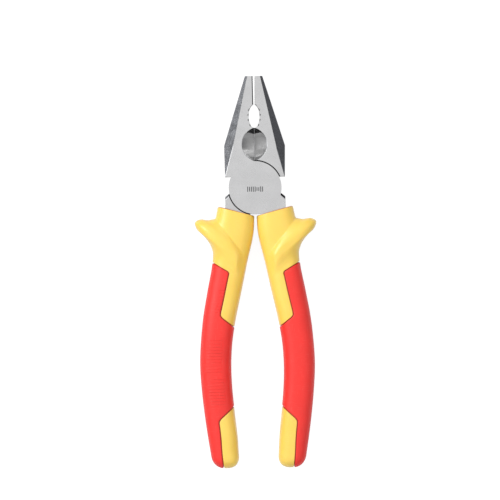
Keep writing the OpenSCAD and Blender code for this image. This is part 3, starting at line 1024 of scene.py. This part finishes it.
def floor_material():
    """Seen white by the camera and in reflections, and lit like any surface otherwise."""
    material = bpy.data.materials.new("floor_white")
    tree = cleared(material)
    out = tree.nodes.new("ShaderNodeOutputMaterial")
    paint = add(tree, "ShaderNodeBsdfDiffuse")
    paint.inputs[0].default_value = (FLOOR_SHADE, FLOOR_SHADE, FLOOR_SHADE, 1)
    glow = add(tree, "ShaderNodeEmission")
    glow.inputs[0].default_value = (1, 1, 1, 1)
    tree.links.new(maths(tree, "MULTIPLY", seen_directly(tree), FLOOR_GLOW), glow.inputs[1])
    both = add(tree, "ShaderNodeAddShader")
    tree.links.new(paint.outputs[0], both.inputs[0])
    tree.links.new(glow.outputs[0], both.inputs[1])
    tree.links.new(both.outputs[0], out.inputs[0])
    return material


def card_material(name, level):
    """Plain, faintly blue light of that level."""
    material = bpy.data.materials.new(name)
    tree = cleared(material)
    out = tree.nodes.new("ShaderNodeOutputMaterial")
    light = add(tree, "ShaderNodeEmission")
    light.inputs[0].default_value = (level, level, level * 1.03, 1)
    tree.links.new(light.outputs[0], out.inputs[0])
    return material


def studio_world(level):
    """Even light of that level, over a plain white background."""
    world = bpy.data.worlds.new("studio")
    tree = cleared(world)
    out = tree.nodes.new("ShaderNodeOutputWorld")
    sky = add(tree, "ShaderNodeBackground")
    sky.inputs[0].default_value = (1, 1, 1, 1)
    tree.links.new(remapped(tree, seen_directly(tree), 0.0, 1.0, level, 1.0), sky.inputs[1])
    tree.links.new(sky.outputs[0], out.inputs[0])
    return world


def flat_card(name, corners, material):
    """A flat part of the stage."""
    mesh = bpy.data.meshes.new(name)
    mesh.from_pydata(corners, [], [range(len(corners))])
    mesh.materials.append(material)
    card = bpy.data.objects.new(name, mesh)
    bpy.context.scene.collection.objects.link(card)
    return card


class PLIERS_OT_studio(bpy.types.Operator):
    """Set the floor, the lights, the reflector cards and the camera"""
    bl_idname = "pliers.studio"
    bl_label = "Studio"

    def execute(self, context):
        scene, studio = context.scene, context.scene.pliers_studio
        scene.view_settings.view_transform = "Standard"
        floor_z, reach = CAD_BOX[0][2], FLOOR_REACH
        flat_card("floor", [(-reach, -reach, floor_z), (reach, -reach, floor_z),
                            (reach, reach, floor_z), (-reach, reach, floor_z)], floor_material())
        for name, (x0, y0), (x1, y1), top, level in CARDS:
            card = flat_card("card_" + name, [(x0, y0, floor_z), (x1, y1, floor_z), (x1, y1, top),
                                              (x0, y0, top)], card_material("card_" + name, level))
            card.visible_camera = card.visible_diffuse = card.visible_shadow = False
            card.visible_transmission = card.visible_volume_scatter = False
        scene.world = studio_world(studio.sky_level)

        key = bpy.data.lights.new("key", "AREA")
        key.shape, key.size, key.energy = "DISK", KEY_SIZE, studio.key_power
        lamp = bpy.data.objects.new("key", key)
        lamp.location = KEY_PLACE
        lamp.rotation_euler = (KEY_TARGET - KEY_PLACE).to_track_quat("-Z", "Y").to_euler()
        scene.collection.objects.link(lamp)

        camera = bpy.data.cameras.new("camera")
        camera.type, camera.sensor_width = "PERSP", SENSOR_WIDTH
        camera.lens = SENSOR_WIDTH * studio.camera_height / studio.view_width
        camera.clip_start, camera.clip_end = 0.01, 50.0
        view = bpy.data.objects.new("camera", camera)
        view.location = (VIEW_X, VIEW_Y, HALF_HEAD + studio.camera_height)
        view.rotation_euler = (0, 0, math.radians(VIEW_TURN_DEGREES))
        scene.collection.objects.link(view)
        scene.camera = view
        return {"FINISHED"}


# ---- sidebar ----

class PLIERS_PT_build(bpy.types.Panel):
    """Lists the settings and the steps that build the pliers"""
    bl_idname = "PLIERS_PT_build"
    bl_label = "Insulated Pliers"
    bl_space_type = "VIEW_3D"
    bl_region_type = "UI"
    bl_category = "Pliers"

    def draw(self, context):
        layout = self.layout
        for title, group, steps in (
                ("Steel", context.scene.pliers_steel, ("pliers.forged_halves", "pliers.rivet")),
                ("Handles", context.scene.pliers_handle,
                 ("pliers.sleeves", "pliers.grips", "pliers.grip_ribs")),
                ("Studio", context.scene.pliers_studio, ("pliers.studio",))):
            box = layout.box()
            box.label(text=title)
            for name in group.__annotations__:
                box.prop(group, name)
            for step in steps:
                box.operator(step)


CLASSES = (SteelSettings, HandleSettings, StudioSettings, PLIERS_OT_forged_halves, PLIERS_OT_rivet,
           PLIERS_OT_sleeves, PLIERS_OT_grips, PLIERS_OT_grip_ribs, PLIERS_OT_studio, PLIERS_PT_build)


def register():
    for cls in CLASSES:
        bpy.utils.register_class(cls)
    bpy.types.Scene.pliers_steel = PointerProperty(type=SteelSettings)
    bpy.types.Scene.pliers_handle = PointerProperty(type=HandleSettings)
    bpy.types.Scene.pliers_studio = PointerProperty(type=StudioSettings)


def unregister():
    del bpy.types.Scene.pliers_studio
    del bpy.types.Scene.pliers_handle
    del bpy.types.Scene.pliers_steel
    for cls in reversed(CLASSES):
        bpy.utils.unregister_class(cls)


def main():
    """Builds every piece and the stage."""
    register()
    bpy.ops.pliers.forged_halves()
    bpy.ops.pliers.rivet()
    bpy.ops.pliers.sleeves()
    bpy.ops.pliers.grips()
    bpy.ops.pliers.grip_ribs()
    bpy.ops.pliers.studio()


if __name__ == "__main__":
    main()
